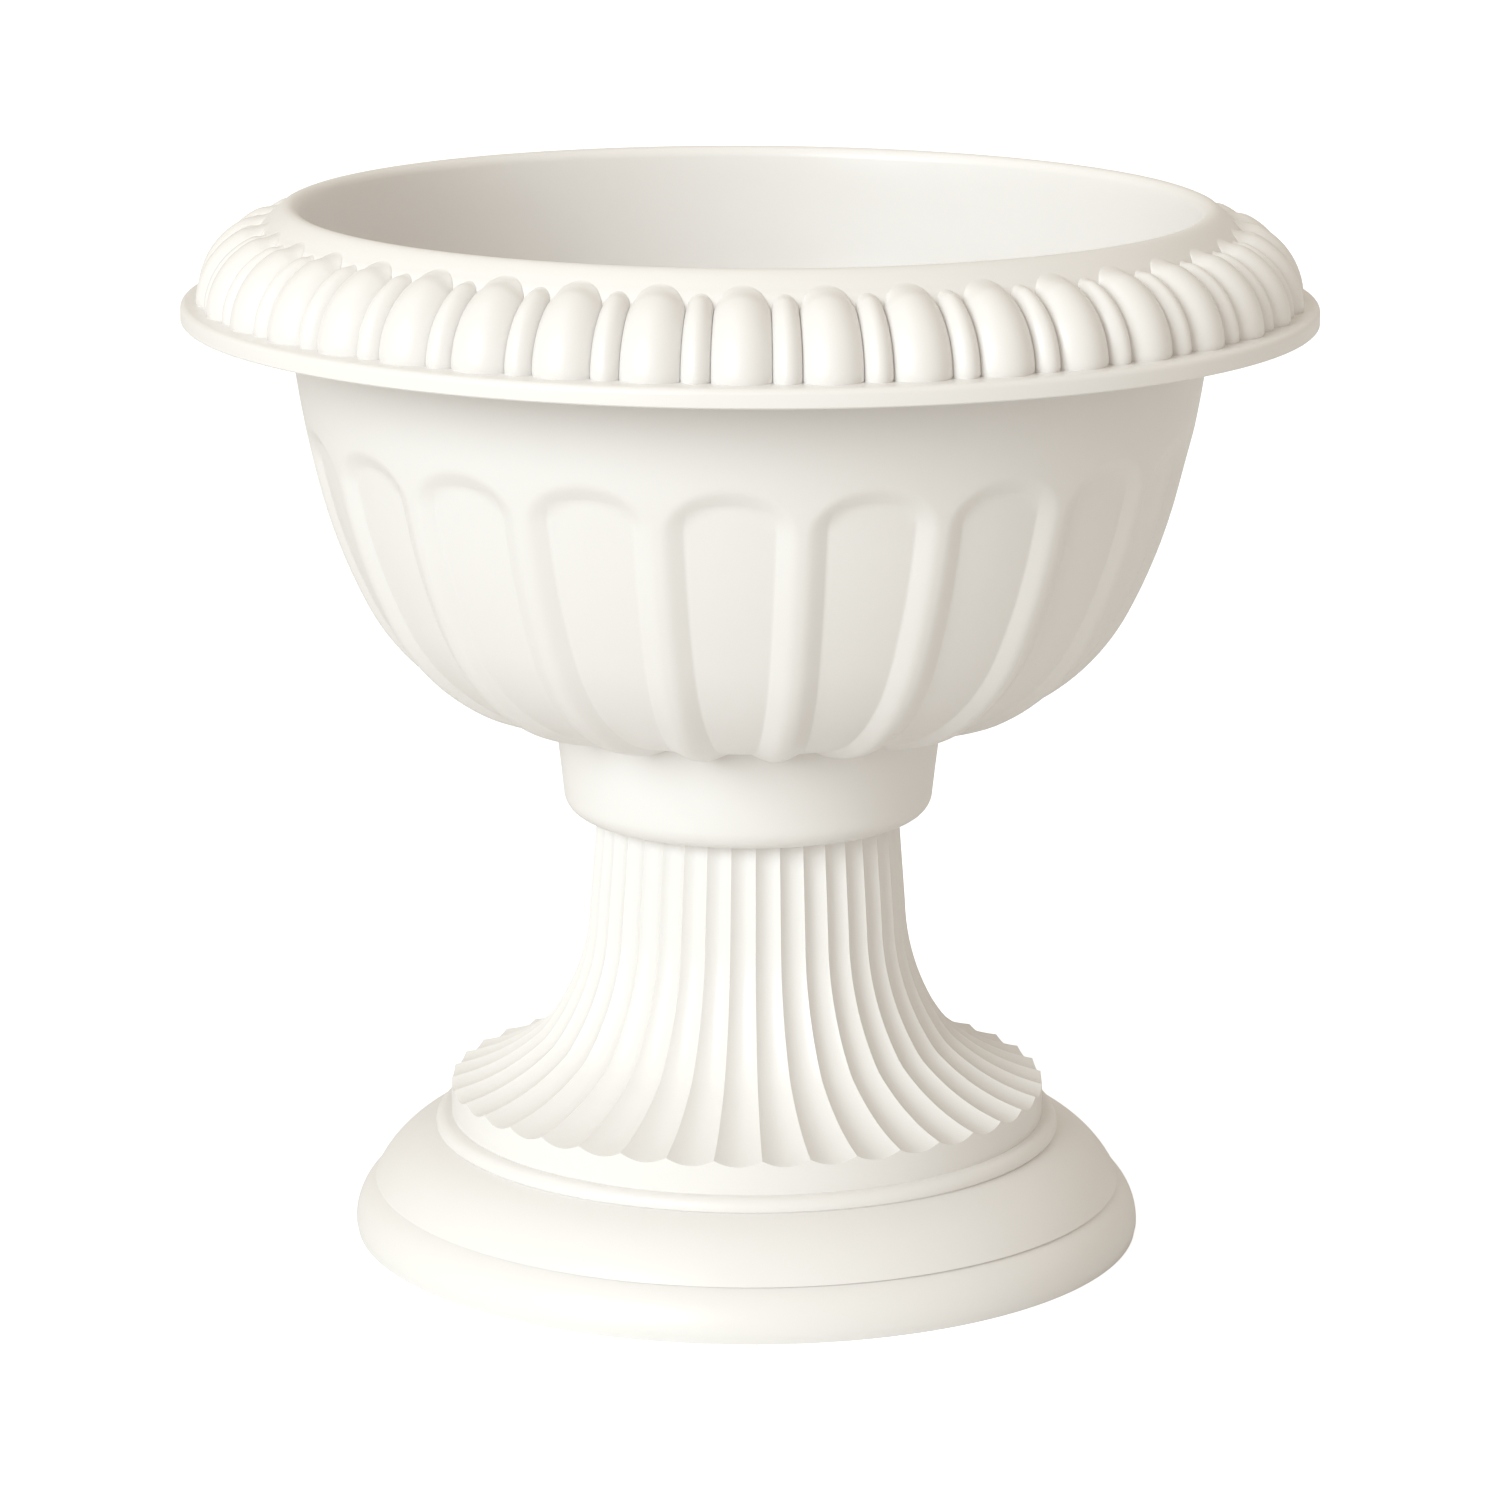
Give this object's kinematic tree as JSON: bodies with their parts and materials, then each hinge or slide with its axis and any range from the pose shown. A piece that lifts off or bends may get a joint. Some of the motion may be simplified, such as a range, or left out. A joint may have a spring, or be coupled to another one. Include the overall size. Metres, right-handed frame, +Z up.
{
  "type": "urn planter",
  "caption": "Two-piece urn planter: gadrooned rim, bowl with arched panels, fluted pedestal on a stepped round foot.",
  "frame": {"origin": "centre of the foot's underside, on the floor", "axes": "+Z up along the axis of the urn, -Y towards the viewer"},
  "size_m": [0.4572, 0.4572, 0.4264],
  "materials": {
    "shell": "satin",
    "plug": "matte"
  },
  "bodies": {
    "pedestal_body": {"pedestal": "shell"},
    "bowl_body": {"bowl": "shell"},
    "plug_body": {"drain_plug": "plug"}
  },
  "joints": [
    {"name": "bowl_twist", "type": "hinge", "parent": "pedestal_body", "child": "bowl_body", "pos_m": [0, 0, 0.176], "axis": [0, 0, 1], "range_deg": [-45, 0]},
    {"name": "plug_pull", "type": "slide", "parent": "bowl_body", "child": "plug_body", "axis": [0, 0, 1], "range_m": [0, 0.03]}
  ]
}
